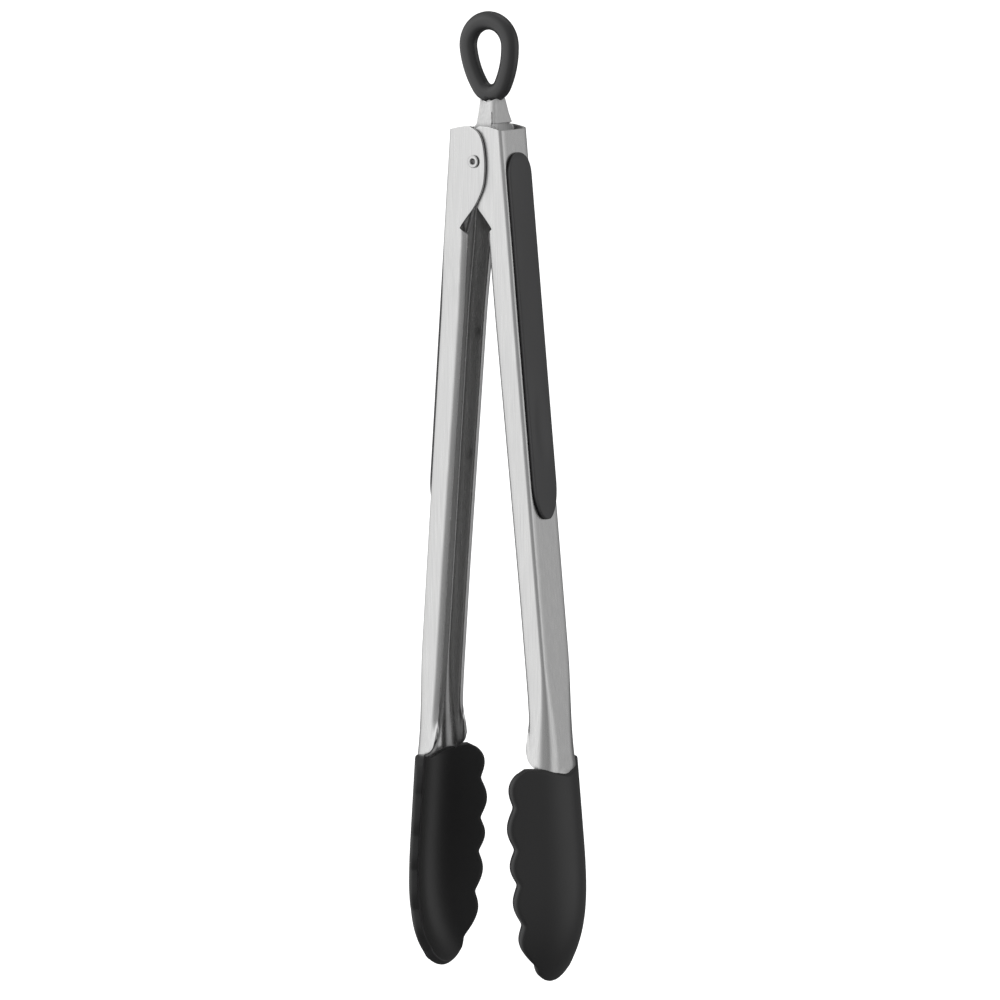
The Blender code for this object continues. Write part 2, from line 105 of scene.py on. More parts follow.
def flatBlank(name, columns, rows):
    # a flat blank 2 wide and 2 high, its columns along X and its rows from the top down
    clearSelection()
    bpy.ops.mesh.primitive_grid_add(x_subdivisions=columns, y_subdivisions=rows, size=2)
    blank = bpy.context.object
    blank.name = name
    return blank


def gridPlace(point, columns, rows):
    return round((point.x + 1) / 2 * columns), round((1 - point.y) / 2 * rows)


def trimBlank(blank, columns, rows, unwanted):
    # cuts away the blank's squares whose column and row unwanted() names
    workOn(blank)
    bpy.ops.object.mode_set(mode="EDIT")
    bpy.ops.mesh.select_mode(type="FACE")
    bpy.ops.mesh.select_all(action="DESELECT")
    bpy.ops.object.mode_set(mode="OBJECT")
    for face in blank.data.polygons:
        column = int((face.center.x + 1) / 2 * columns)
        row = int((1 - face.center.y) / 2 * rows)
        face.select = unwanted(column, row)
    bpy.ops.object.mode_set(mode="EDIT")
    bpy.ops.mesh.delete(type="FACE")
    bpy.ops.object.mode_set(mode="OBJECT")


def press(blank, columns, rows, form):
    # presses the flat blank into its form, vertex by vertex
    for vertex in blank.data.vertices:
        column, row = gridPlace(vertex.co, columns, rows)
        vertex.co = form(column, row)
    blank.data.update()


def faceOutward(piece, inside):
    # turns an open sheet so that its faces look away from the point inside
    workOn(piece)
    bpy.ops.object.mode_set(mode="EDIT")
    bpy.ops.mesh.select_all(action="SELECT")
    bpy.ops.mesh.normals_make_consistent(inside=False)
    bpy.ops.object.mode_set(mode="OBJECT")
    face = piece.data.polygons[len(piece.data.polygons) // 2]
    if face.normal.dot(face.center - Vector(inside)) < 0:
        bpy.ops.object.mode_set(mode="EDIT")
        bpy.ops.mesh.flip_normals()
        bpy.ops.object.mode_set(mode="OBJECT")


def smoothed(piece, angle):
    workOn(piece)
    bpy.ops.object.shade_smooth_by_angle(angle=math.radians(angle))


def cleaned(piece, gap=0.00002):
    workOn(piece)
    bpy.ops.object.mode_set(mode="EDIT")
    bpy.ops.mesh.select_all(action="SELECT")
    bpy.ops.mesh.remove_doubles(threshold=gap)
    bpy.ops.mesh.normals_make_consistent(inside=False)
    bpy.ops.object.mode_set(mode="OBJECT")


def plateCutter(name, outline, depth):
    # a flat plate from an outline of (out, height) points, thick along the pin
    count = len(outline)
    mesh = bpy.data.meshes.new(name)
    mesh.from_pydata([(out, -depth / 2, height) for out, height in outline],
                     [(k, (k + 1) % count) for k in range(count)], [])
    piece = bpy.data.objects.new(name, mesh)
    bpy.context.scene.collection.objects.link(piece)
    workOn(piece)
    bpy.ops.object.mode_set(mode="EDIT")
    bpy.ops.mesh.select_all(action="SELECT")
    bpy.ops.mesh.edge_face_add()
    bpy.ops.mesh.extrude_region_move(TRANSFORM_OT_translate={"value": (0, depth, 0)})
    bpy.ops.mesh.select_all(action="SELECT")
    bpy.ops.mesh.normals_make_consistent(inside=False)
    bpy.ops.object.mode_set(mode="OBJECT")
    return piece


def drill(radius, depth, location, along, facets):
    clearSelection()
    turn = Vector((0, 0, 1)).rotation_difference(Vector(along)).to_euler()
    bpy.ops.mesh.primitive_cylinder_add(vertices=facets, radius=radius, depth=depth, location=location,
                                        rotation=turn)
    return bpy.context.object


def swingOut(piece, side):
    # from the arm's upright frame to its place on the pivot, leaning open
    lean = Matrix.Rotation(-side * armLean, 4, "Y")
    piece.data.transform(Matrix.Translation(pivotPoint) @ lean)
    piece.data.update()


def eased(stations, height):
    # reads a value at a height from (height, value) stations that run downwards
    if height >= stations[0][0]:
        return stations[0][1]
    for (high, first), (low, second) in zip(stations, stations[1:]):
        if height >= low:
            part = (high - height) / (high - low)
            return first + (second - first) * part * part * (3 - 2 * part)
    return stations[-1][1]


def straight(stations, height):
    if height >= stations[0][0]:
        return stations[0][1]
    for (high, first), (low, second) in zip(stations, stations[1:]):
        if height >= low:
            return first + (second - first) * (high - height) / (high - low)
    return stations[-1][1]


def spread(start, end, count):
    return [start + (end - start) * k / count for k in range(1, count + 1)]


# finishes

def freshMaterial(name):
    material = bpy.data.materials.new(name)
    material.use_nodes = True
    nodes, links = material.node_tree.nodes, material.node_tree.links
    return material, nodes, links, nodes["Principled BSDF"]


def stretchedNoise(nodes, links, stretch, turn, detail=4.0):
    # noise on Object coordinates, stretched along a direction
    place = nodes.new("ShaderNodeTexCoord")
    mapping = nodes.new("ShaderNodeMapping")
    mapping.inputs["Rotation"].default_value = (0.0, turn, 0.0)
    mapping.inputs["Scale"].default_value = stretch
    noise = nodes.new("ShaderNodeTexNoise")
    noise.inputs["Scale"].default_value = 1.0
    noise.inputs["Detail"].default_value = detail
    noise.inputs["Roughness"].default_value = 0.6
    links.new(place.outputs["Object"], mapping.inputs["Vector"])
    links.new(mapping.outputs["Vector"], noise.inputs["Vector"])
    return noise


def ranged(nodes, links, source, low, high, fromLow=0.3, fromHigh=0.7):
    span = nodes.new("ShaderNodeMapRange")
    span.inputs["From Min"].default_value = fromLow
    span.inputs["From Max"].default_value = fromHigh
    span.inputs["To Min"].default_value = low
    span.inputs["To Max"].default_value = high
    links.new(source, span.inputs["Value"])
    return span.outputs["Result"]


def twoTone(nodes, links, source, dark, light):
    mix = nodes.new("ShaderNodeMix")
    mix.data_type = "RGBA"
    mix.inputs["A"].default_value = (*dark, 1.0)
    mix.inputs["B"].default_value = (*light, 1.0)
    links.new(source, mix.inputs["Factor"])
    return mix.outputs["Result"]


def bumped(nodes, links, shader, source, strength, distance):
    bump = nodes.new("ShaderNodeBump")
    bump.inputs["Strength"].default_value = strength
    bump.inputs["Distance"].default_value = distance
    links.new(source, bump.inputs["Height"])
    links.new(bump.outputs["Normal"], shader.inputs["Normal"])


steelLook = dict(grainAcross=2600.0, grainAlong=60.0, roughSpread=0.05, bump=0.06, bumpDepth=0.00004)


def brushedSteel(name, dark, light, rough, lean=0.0):
    material, nodes, links, shader = freshMaterial(name)
    shader.inputs["Metallic"].default_value = 1.0
    across, along = steelLook["grainAcross"], steelLook["grainAlong"]
    grain = stretchedNoise(nodes, links, (across, across, along), lean)
    share = ranged(nodes, links, grain.outputs["Fac"], 0.0, 1.0)
    links.new(twoTone(nodes, links, share, dark, light), shader.inputs["Base Color"])
    swing = steelLook["roughSpread"]
    polish = ranged(nodes, links, grain.outputs["Fac"], rough + swing, rough - swing)
    links.new(polish, shader.inputs["Roughness"])
    bumped(nodes, links, shader, grain.outputs["Fac"], steelLook["bump"], steelLook["bumpDepth"])
    return material


# the last tone is the painted shade colour for the groove round each grip
rubberLook = dict(grain=1400.0, clouds=(45.0, 45.0, 20.0), roughSpread=0.04, bump=0.12, bumpDepth=0.00005,
                  grooveShadeTone=0.004)


def softRubber(name, dark, light, rough, sheen=0.35):
    material, nodes, links, shader = freshMaterial(name)
    grain, swing = rubberLook["grain"], rubberLook["roughSpread"]
    fine = stretchedNoise(nodes, links, (grain, grain, grain), 0.0, 3.0)
    clouds = stretchedNoise(nodes, links, rubberLook["clouds"], 0.0, 2.0)
    shader.inputs["Specular IOR Level"].default_value = sheen
    links.new(twoTone(nodes, links, clouds.outputs["Fac"], dark, light), shader.inputs["Base Color"])
    polish = ranged(nodes, links, clouds.outputs["Fac"], rough + swing, rough - swing)
    links.new(polish, shader.inputs["Roughness"])
    bumped(nodes, links, shader, fine.outputs["Fac"], rubberLook["bump"], rubberLook["bumpDepth"])
    return material


def rimShadedRubber(name, dark, light, rough):
    # grip skin: the attribute rimShade mixes painted shade into the groove round its edge
    material = softRubber(name, dark, light, rough)
    nodes, links = material.node_tree.nodes, material.node_tree.links
    shader = nodes["Principled BSDF"]
    colour = shader.inputs["Base Color"].links[0].from_socket
    rim = nodes.new("ShaderNodeAttribute")
    rim.attribute_name = "rimShade"
    mix = nodes.new("ShaderNodeMix")
    mix.data_type = "RGBA"
    mix.inputs["B"].default_value = (*[rubberLook["grooveShadeTone"]] * 3, 1.0)
    links.new(rim.outputs["Fac"], mix.inputs["Factor"])
    links.new(colour, mix.inputs["A"])
    links.new(mix.outputs["Result"], shader.inputs["Base Color"])
    return material


def grey(tone, blue=0.0):
    return (tone, tone, tone + blue)


def dressed(piece, *materials):
    piece.data.materials.clear()
    for material in materials:
        piece.data.materials.append(material)


finishes = {                                   # name, dark tone, light tone, roughness, then lean or sheen
    "outerSteel": brushedSteel("outer_arm_steel", grey(0.52), grey(0.60, -0.003), 0.30, armLean),
    "innerSteel": brushedSteel("inner_arm_steel", grey(0.52), grey(0.60, -0.003), 0.30, -armLean),
    # insides: rougher steel, its darker colour painted shade for the shadowed hollow of the channels and the
    # tab
    "roughInsidePaintedShade": brushedSteel("rough_inside_painted_shade", grey(0.19), grey(0.26), 0.55),
    "tabSteel": brushedSteel("tab_steel", grey(0.62), grey(0.70, -0.003), 0.62),
    "pinSteel": brushedSteel("pin_steel", grey(0.52), grey(0.60), 0.34),
    "wire": brushedSteel("spring_wire", grey(0.40), grey(0.50), 0.30),
    "silicone": softRubber("head_silicone", grey(0.018, 0.0005), grey(0.024, 0.0005), 0.42, 0.45),
    "gripSkin": rimShadedRubber("grip_skin", grey(0.056, 0.001), grey(0.074, 0.002), 0.45),
    "nylon": softRubber("grip_nylon", grey(0.020), grey(0.030), 0.50),
    "ringRubber": softRubber("ring_rubber", grey(0.026, 0.001), grey(0.036, 0.001), 0.36, 0.5),
}
print("finishes made:", len(finishes))


# the arms: one stamped sheet each, from the pivot's cheeks down to the blade inside the head

armSizes = dict(
    sheet=1.0 * mm, edgeRound=0.14 * mm, webFace=11.6 * mm, corner=1.7 * mm,
    freeEdge=((-24.3 * mm, 1.4 * mm), (-150.0 * mm, 2.4 * mm)),
    pivotHalf={"outer": 9.95 * mm, "inner": 8.6 * mm}, pivotEnd=-26.0 * mm,
    armHalf=8.9 * mm, slimFrom=-58.0 * mm,
    neckHalf=10.9 * mm, neckFrom=-186.0 * mm, neckPower=1.9, neckCorner=6.0 * mm, neckCornerFrom=-178.0 * mm,
    roll=3.0 * mm, rollAngle=math.radians(66), rollTop=-24.3 * mm, rollEnd=-219.9 * mm,
    rollSlant=2.4 * mm, rollSlantReach=10.0 * mm, unrollFrom=-200.0 * mm, unrolled=0.25,
    cheekEnd=-219.9 * mm, cheekCorner=6.5 * mm, cheekShort=1.9 * mm, cheekFrom=-198.0 * mm, archFrom=2.0 * mm,
    bladeTop=-220.6 * mm, bladeEnd=-285.0 * mm,
    pinHole=1.9 * mm, studHole=1.8 * mm, studs=(-20.0 * mm, -65.0 * mm, -110.0 * mm),
    pinDrill=60.0 * mm, studDrill=6.0 * mm, pinFacets=40, studFacets=28, inside=(0.0, 0.0, -0.1), smooth=32,
)
cheekOutline = [                               # free edge of the pivot cheeks: (height, how far out it lies)
    (12.2 * mm, 2.6 * mm), (11.5 * mm, 0.9 * mm), (10.5 * mm, -0.8 * mm), (9.2 * mm, -1.9 * mm),
    (7.5 * mm, -2.8 * mm), (4.3 * mm, -3.75 * mm), (1.0 * mm, -4.35 * mm), (-2.5 * mm, -4.65 * mm),
    (-6.1 * mm, -4.6 * mm), (-9.2 * mm, -4.1 * mm), (-12.3 * mm, -3.0 * mm), (-16.3 * mm, -1.0 * mm),
    (-20.2 * mm, 1.8 * mm), (-24.0 * mm, 4.4 * mm),
]
archOutline = [                                # top of the arm, from the free edge out to the web
    (2.6 * mm, 12.2 * mm), (6.0 * mm, 11.9 * mm), (9.4 * mm, 10.9 * mm), (13.5 * mm, 9.4 * mm),
]
bladeOutline = [                               # (height, half width)
    (-219.0 * mm, 10.3 * mm), (-240.0 * mm, 15.5 * mm), (-262.0 * mm, 15.5 * mm), (-285.0 * mm, 7.0 * mm),
]
pivotRows = [                                  # row heights beside the pivot, in mm
    12.2, 11.9, 11.45, 10.9, 10.2, 9.3, 8.2, 7.0, 5.6, 4.2, 2.8, 1.4, 0.0, -1.5, -3.0, -4.5, -6.0,
    -7.4, -8.8, -10.1, -11.4, -12.7, -14.0, -15.3, -16.6, -17.9, -19.2, -20.5, -21.8, -23.0, -24.3,
]
lowerRows = [                                  # further down: to a height in mm, in how many rows
    (-58.0, 11), (-178.0, 16), (-206.0, 8), (-219.9, 9),
]
bladeRows = 22
rollSteps, cheekSteps, cornerSteps, webSteps = 7, 5, 7, 5
halfColumns = rollSteps + cheekSteps + cornerSteps + webSteps
armColumns = 2 * halfColumns


def flowing(stations, height):
    # a smooth line through (height, value) stations that run downwards
    if height >= stations[0][0]:
        return stations[0][1]
    for k in range(len(stations) - 1):
        (high, first), (low, second) = stations[k], stations[k + 1]
        if height >= low:
            before = stations[max(k - 1, 0)]
            after = stations[min(k + 2, len(stations) - 1)]
            startSlope = (second - before[1]) / (low - before[0])
            endSlope = (after[1] - first) / (after[0] - high)
            run = low - high
            part = (height - high) / run
            return (first * (1 + 2 * part) * (1 - part) ** 2 + startSlope * run * part * (1 - part) ** 2
                    + second * part * part * (3 - 2 * part) + endSlope * run * part * part * (part - 1))
    return stations[-1][1]


def cheekEdge(height):
    return flowing(cheekOutline, height)


def archHeight(out):
    return -straight([(-a, -b) for a, b in archOutline], -out)


def armHalfWidth(kind, height):
    a = armSizes
    if height < a["neckFrom"]:
        part = min((a["neckFrom"] - height) / (a["neckFrom"] - a["cheekEnd"]), 1.0)
        return a["armHalf"] + (a["neckHalf"] - a["armHalf"]) * part ** a["neckPower"]
    return eased([(a["pivotEnd"], a["pivotHalf"][kind]), (a["slimFrom"], a["armHalf"])], height)


def armRows():
    rows = list(pivotRows)
    for end, count in lowerRows:
        rows += spread(rows[-1], end, count)
    rows = [height * mm for height in rows]
    return rows, rows + [armSizes["bladeTop"]] + spread(armSizes["bladeTop"], armSizes["bladeEnd"], bladeRows)


def channelHalfSection(kind, height):
    # (out, across) from the free edge round to the middle of the web, front half
    a = armSizes
    half = armHalfWidth(kind, height)
    corner = eased([(a["neckCornerFrom"], a["corner"]), (a["cheekEnd"], a["neckCorner"])], height)
    curl = eased([(a["unrollFrom"], 1.0), (a["rollEnd"], a["unrolled"])], height)
    start = straight(a["freeEdge"], height) + a["roll"]
    radius = a["roll"] / curl
    section = []
    for k in range(rollSteps + 1):
        turn = a["rollAngle"] * curl * (1 - k / rollSteps)
        section.append((start - radius * math.sin(turn), half - radius * (1 - math.cos(turn))))
    if height > a["rollTop"]:
        start = cheekEdge(height)
        section = [(start, half)] * len(section)
    section += [(out, half) for out in spread(start, a["webFace"] - corner, cheekSteps)]
    for k in range(1, cornerSteps + 1):
        turn = math.pi / 2 * k / cornerSteps
        section.append((a["webFace"] - corner * (1 - math.sin(turn)), half - corner * (1 - math.cos(turn))))
    section += [(a["webFace"], across) for across in spread(half - corner, 0.0, webSteps)]
    return section


def pressArm(kind, side, heights, firstBlade):
    a = armSizes

    def form(column, row):
        height = heights[row]
        front = column <= halfColumns
        step = column if front else armColumns - column
        sign = -1 if front else 1
        if row >= firstBlade:
            out, across = channelHalfSection(kind, a["cheekEnd"])[step]
            across *= eased(bladeOutline, height) / a["neckHalf"]
            out = crownLine(height) - dishDrop(across) - headSizes["bladeDepth"]
            return Vector((side * out, sign * across, height))
        section = channelHalfSection(kind, height)
        out, across = section[step]
        if step < rollSteps and height <= a["rollTop"]:
            # the roll's upper end is cut on a slant
            share = max(0.0, 1 - (a["rollTop"] - height) / a["rollSlantReach"])
            height -= a["rollSlant"] * (1 - step / rollSteps) * share
        if height > a["archFrom"] and out > archOutline[0][0]:
            share = (height - a["archFrom"]) / (cheekOutline[0][0] - a["archFrom"])
            height -= (archOutline[0][1] - archHeight(out)) * share
        if height < a["cheekFrom"]:
            # the cheeks end a little higher than the web, in a round corner
            reach = min(max(section[0][0] + a["cheekCorner"] - out, 0.0), a["cheekCorner"])
            lift = a["cheekCorner"] - math.sqrt(a["cheekCorner"] ** 2 - reach ** 2)
            lift += a["cheekShort"] * min(max((halfColumns - webSteps - step) / cornerSteps, 0.0), 1.0)
            height += lift * (a["cheekFrom"] - height) / (a["cheekFrom"] - a["cheekEnd"])
        return Vector((side * out, sign * across, height))

    return form


def makeArm(kind, finish):
    a = armSizes
    side = sides[kind]
    channelRows, heights = armRows()
    rows = len(heights) - 1
    firstBlade = len(channelRows)
    rollRow = channelRows.index(a["rollTop"])
    cheeked = rollSteps + cheekSteps
    arm = flatBlank(kind + "ArmSheet", armColumns, rows)

    def unwanted(column, row):
        step = min(column, armColumns - 1 - column)
        return (row < rollRow and step < rollSteps) or (row >= firstBlade - 1 and step < cheeked)

    trimBlank(arm, armColumns, rows, unwanted)
    press(arm, armColumns, rows, pressArm(kind, side, heights, firstBlade))
    faceOutward(arm, a["inside"])
    applied(arm, "SOLIDIFY", thickness=a["sheet"], offset=-1.0, use_even_offset=True, material_offset=1)
    softEdges(arm, a["edgeRound"])
    cutWith(arm, drill(a["pinHole"], a["pinDrill"], (0, 0, 0), (0, 1, 0), a["pinFacets"]))
    for height in a["studs"]:
        place = (side * a["webFace"], 0, height)
        cutWith(arm, drill(a["studHole"], a["studDrill"], place, (1, 0, 0), a["studFacets"]))
    swingOut(arm, side)
    smoothed(arm, a["smooth"])
    # the arm's inner faces take the rougher steel with painted shade
    dressed(arm, finish, finishes["roughInsidePaintedShade"])
    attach(arm, kind + "_arm")
    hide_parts(kind + "_arm")
    return arm


# the heads: scalloped silicone dishes moulded round the blades

headSizes = dict(
    top=-216.6 * mm, tip=-297.4 * mm, half=23.4 * mm, wall=3.4 * mm, crown=13.17 * mm, bladeDepth=1.2 * mm,
    dip=4.1 * mm, dipReach=0.58, dipFade=0.4, curl=14.3 * mm, curlStart=-235.0 * mm, curlPower=4,
    slope=0.68, flareStart=11.9 * mm, topNarrowing=0.13, cornerRadius=6.0 * mm, cornerTurn=0.90,
    widestTop=-240.0 * mm, widestBottom=-248.0 * mm, tipPower=2.9, tipLimit=0.999,
    tipBow=4.0 * mm, bowFrom=-270.0 * mm, rimRound=1.35 * mm, innerRound=0.4, rimStep=1.7 * mm,
    valleySoftness=0.16, inside=(0.0, 0.0, -0.26), smooth=40,
)
scallops = [                                   # lobe above, valley, lobe below, depth
    (-222.6 * mm, -230.0 * mm, -237.9 * mm, 1.8 * mm), (-237.9 * mm, -245.2 * mm, -251.5 * mm, 1.7 * mm),
    (-251.5 * mm, -258.0 * mm, -265.2 * mm, 1.7 * mm), (-265.2 * mm, -273.2 * mm, -280.5 * mm, 1.8 * mm),
    (-280.5 * mm, -289.8 * mm, -299.0 * mm, 2.1 * mm),
]
headColumns, headRows = 28, 144


def crownLine(height):
    h = headSizes
    part = max(0.0, (h["curlStart"] - height) / (h["curlStart"] - h["tip"]))
    return h["crown"] - h["curl"] * part ** h["curlPower"]


def dishDrop(across):
    h = headSizes
    across = abs(across)
    if across < h["flareStart"]:
        return h["slope"] * across * across / (2 * h["flareStart"])
    return h["slope"] * (across - h["flareStart"] / 2)


def headHalfWidth(height):
    h = headSizes
    if height > h["widestTop"]:
        part = (height - h["widestTop"]) / (h["top"] - h["widestTop"])
        half = h["half"] * (1 - h["topNarrowing"] * part * part)
        rise = max(0.0, height - (h["top"] - h["cornerRadius"]))
        return half - h["cornerRadius"] + math.sqrt(h["cornerRadius"] ** 2 - h["cornerTurn"] * rise ** 2)
    if height < h["widestBottom"]:
        part = min((h["widestBottom"] - height) / (h["widestBottom"] - h["tip"]), h["tipLimit"])
        return h["half"] * math.sqrt(1 - part ** h["tipPower"])
    return h["half"]


def scallopCut(height):
    soft = headSizes["valleySoftness"]
    for above, valley, below, depth in scallops:
        if below <= height <= above:
            start = above if height > valley else below
            part = (height - start) / (valley - start)
            swing = math.sqrt(math.cos(math.pi / 2 * part) ** 2 + soft ** 2) - soft
            return depth * (1 - swing / (math.sqrt(1 + soft ** 2) - soft))
    return 0.0


def headPoint(side, along, part):
    # along: -1 to 1 across the head; part: 0 at the top edge to 1 at the tip
    h = headSizes
    middle = h["top"] + (h["tip"] - h["top"]) * part
    bow = 0.0
    if middle < h["bowFrom"]:
        share = (h["bowFrom"] - middle) / (h["bowFrom"] - h["tip"])
        bow = h["tipBow"] * share * share * (3 - 2 * share)
    edge = middle + bow
    half = headHalfWidth(edge) - scallopCut(edge)
    across = along * half
    height = middle + bow * along * along
    fade = max(0.0, 1 - part / h["dipFade"]) ** 2
    height -= h["dip"] * math.exp(-(along / h["dipReach"]) ** 2) * fade
    return Vector((side * (crownLine(height if bow else middle) - dishDrop(across)), across, height))


def makeHead(kind):
    h = headSizes
    side = sides[kind]
    length = h["top"] - h["tip"]
    margin = h["rimStep"] / length
    parts = [0.0, margin] + spread(margin, 1 - margin, headRows - 2) + [1.0]
    rows = len(parts) - 1
    head = flatBlank(kind + "ScallopedHead", headColumns, rows)
    press(head, headColumns, rows,
          lambda column, row: headPoint(side, 2 * column / headColumns - 1, parts[row]))
    faceOutward(head, h["inside"])
    outerCount = len(head.data.vertices)
    applied(head, "SOLIDIFY", thickness=h["wall"], offset=-1.0, use_even_offset=True)
    roundRim(head, outerCount, h["rimRound"], h["innerRound"])
    swingOut(head, side)
    smoothed(head, h["smooth"])
    dressed(head, finishes["silicone"])
    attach(head, kind + "_arm")
    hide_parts(kind + "_head")
    return head


def roundRim(piece, outerCount, width, innerShare):
    # rounds the rim's outer edge fully and its inner edge less
    mesh = piece.data
    turns = {}
    for face in mesh.polygons:
        for key in face.edge_keys:
            turns.setdefault(key, []).append(face.normal)
    weight = mesh.attributes.new("bevel_weight_edge", "FLOAT", "EDGE")
    for edge in mesh.edges:
        normals = turns[edge.key]
        if len(normals) == 2 and normals[0].angle(normals[1], 0) > sharpAngle:
            outer = edge.vertices[0] < outerCount and edge.vertices[1] < outerCount
            weight.data[edge.index].value = 1.0 if outer else innerShare
    applied(piece, "BEVEL", width=width, segments=4, limit_method="WEIGHT", use_clamp_overlap=False)


# the grips: crowned soft skins with a groove round them, painted shade in it, and a hollow for the thumb

gripSizes = dict(
    top=2.0 * mm, bottom=-129.0 * mm, half=7.0 * mm, endHalf=0.25 * mm, topReach=8.0 * mm,
    bottomReach=13.0 * mm, under=11.75 * mm, height=1.7 * mm, shoulder=1.35 * mm, rounding=0.45 * mm,
    topRise=0.125, bottomRise=1.3, foot=0.4 * mm, grooveShadeReach=0.42 * mm,
    thumb=(-96.0 * mm, 15.0 * mm, 4.6 * mm), thumbDepth=0.65 * mm, inside=(0.0, 0.0, -0.06), smooth=50,
)
gripRows, gripRowCrowding = 90, 0.155
gripCrownSteps, gripCrownInset = 9, 1.8
gripEdgePlaces = (0.0, 0.12, 0.4, 1.0)         # columns over the rounding at each side


def gripHalfWidth(height):
    g = gripSizes
    fromTop = g["top"] - height
    fromBottom = height - g["bottom"]
    if fromTop < g["topReach"]:
        return g["half"] * math.sqrt(max(1 - (1 - fromTop / g["topReach"]) ** 2, 0.0))
    if fromBottom < g["bottomReach"]:
        return g["half"] * math.sqrt(max(1 - (1 - fromBottom / g["bottomReach"]) ** 2, 0.0))
    return g["half"]


def gripPlaces():
    # rows close up towards both ends, columns towards both sides
    g = gripSizes
    length = g["top"] - g["bottom"]
    heights = []
    for k in range(gripRows + 1):
        part = k / gripRows
        part -= gripRowCrowding * math.sin(2 * math.pi * part)
        heights.append(g["top"] - length * part)
    edge = g["rounding"] / g["half"]
    near = [-1.0 + share * edge for share in gripEdgePlaces]
    crown = [math.sin(math.pi / 2 * k / gripCrownSteps) for k in range(-gripCrownSteps, gripCrownSteps + 1)]
    crown = [place * (1 - gripCrownInset * edge) for place in crown]
    return heights, near + crown + [-place for place in reversed(near)]


def gripLift(across, height):
    # how high the skin stands over its underside
    g = gripSizes
    half = max(gripHalfWidth(height), 1e-6)
    inset = min(half - abs(across), (g["top"] - height) * g["topRise"],
                (height - g["bottom"]) * g["bottomRise"])
    lift = g["shoulder"] + (g["height"] - g["shoulder"]) * (1 - (abs(across) / half) ** 2)
    centre, length, width = g["thumb"]
    hollow = ((height - centre) / length) ** 2 + (across / width) ** 2
    if hollow < 1:
        lift -= g["thumbDepth"] * (1 - hollow) ** 1.5
    if inset < g["rounding"]:
        part = 1 - max(inset, 0.0) / g["rounding"]
        lift = g["foot"] + (lift - g["foot"]) * math.sqrt(1 - part * part)
    return lift


def makeGrip(kind):
    g = gripSizes
    side = sides[kind]
    heights, across = gripPlaces()
    columns, rows = len(across) - 1, len(heights) - 1
    grip = flatBlank(kind + "GripSkin", columns, rows)

    def form(column, row):
        half = max(gripHalfWidth(heights[row]), g["endHalf"])
        place = across[column] * half
        return Vector((side * (g["under"] + gripLift(place, heights[row])), place, heights[row]))

    press(grip, columns, rows, form)
    faceOutward(grip, g["inside"])
    workOn(grip)
    bpy.ops.object.mode_set(mode="EDIT")
    bpy.ops.mesh.select_mode(type="EDGE")
    bpy.ops.mesh.select_all(action="DESELECT")
    bpy.ops.mesh.select_non_manifold()
    bpy.ops.mesh.extrude_edges_move(TRANSFORM_OT_translate={"value": (-side * g["foot"], 0, 0)})
    bpy.ops.mesh.edge_face_add()
    bpy.ops.object.mode_set(mode="OBJECT")
    cleaned(grip)
    # painted shade: marks the skin's foot round its edge, in the groove against the web
    shade = grip.data.attributes.new("rimShade", "FLOAT", "POINT")
    for vertex in grip.data.vertices:
        low = abs(vertex.co.x) - g["under"]
        shade.data[vertex.index].value = 1.0 if low <= g["grooveShadeReach"] else 0.0
    swingOut(grip, side)
    smoothed(grip, g["smooth"])
    dressed(grip, finishes["gripSkin"])
    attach(grip, kind + "_arm")
    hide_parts(kind + "_grip")
    return grip


for kind in sides:
    makeArm(kind, finishes[kind + "Steel"])
    makeHead(kind)
    makeGrip(kind)
    print(kind, "arm, head and grip made")


# the pull ring: an egg-shaped rubber loop round its steel core

ringSizes = dict(
    tube=3.3 * mm, tubeAcross=2.9 * mm, sag=0.25 * mm, topRadius=8.9 * mm, bottomRadius=5.5 * mm,
    bottomCentre=29.0 * mm, sideRadius=30.0 * mm, lean=math.radians(3.7), blankRadius=20.0 * mm,
    coreRoom=1.6 * mm, stemRoom=2.13 * mm, stemBottom=14.6 * mm, stemTop=0.3 * mm, around=144, section=28,
    coreSection=12, stemFacets=32, smooth=45,
)


def ringLine():
    # points and outward directions round an oval of four arcs, measured from the pivot
    r = ringSizes
    hook = -pivotHeight
    topCentre = hook + r["tube"] - r["sag"] - r["topRadius"]
    toTop, toBottom = r["sideRadius"] - r["topRadius"], r["sideRadius"] - r["bottomRadius"]
    gap = topCentre - r["bottomCentre"]
    atTop = math.acos((toTop ** 2 + gap ** 2 - toBottom ** 2) / (2 * toTop * gap))
    atBottom = math.acos((toBottom ** 2 + gap ** 2 - toTop ** 2) / (2 * toBottom * gap))
    topEnd, bottomStart = math.pi / 2 - atTop, -(math.pi / 2 - atBottom)
    lean = Matrix.Rotation(-r["lean"], 3, "Y")
    hookPoint = Vector((0, 0, hook))
    line = []
    for k in range(r["around"]):
        angle = 2 * math.pi * k / r["around"]
        outward = Vector((math.cos(angle), 0, math.sin(angle)))
        climb = math.asin(max(-1.0, min(1.0, outward.z)))
        if climb >= topEnd:
            point = Vector((0, 0, topCentre)) + outward * r["topRadius"]
        elif climb <= bottomStart:
            point = Vector((0, 0, r["bottomCentre"])) + outward * r["bottomRadius"]
        else:
            sign = 1 if outward.x > 0 else -1
            centre = Vector((-sign * toTop * math.sin(atTop), 0, topCentre - toTop * math.cos(atTop)))
            point = centre + outward * r["sideRadius"]
        line.append((hookPoint + lean @ (point - hookPoint), lean @ outward))
    return line


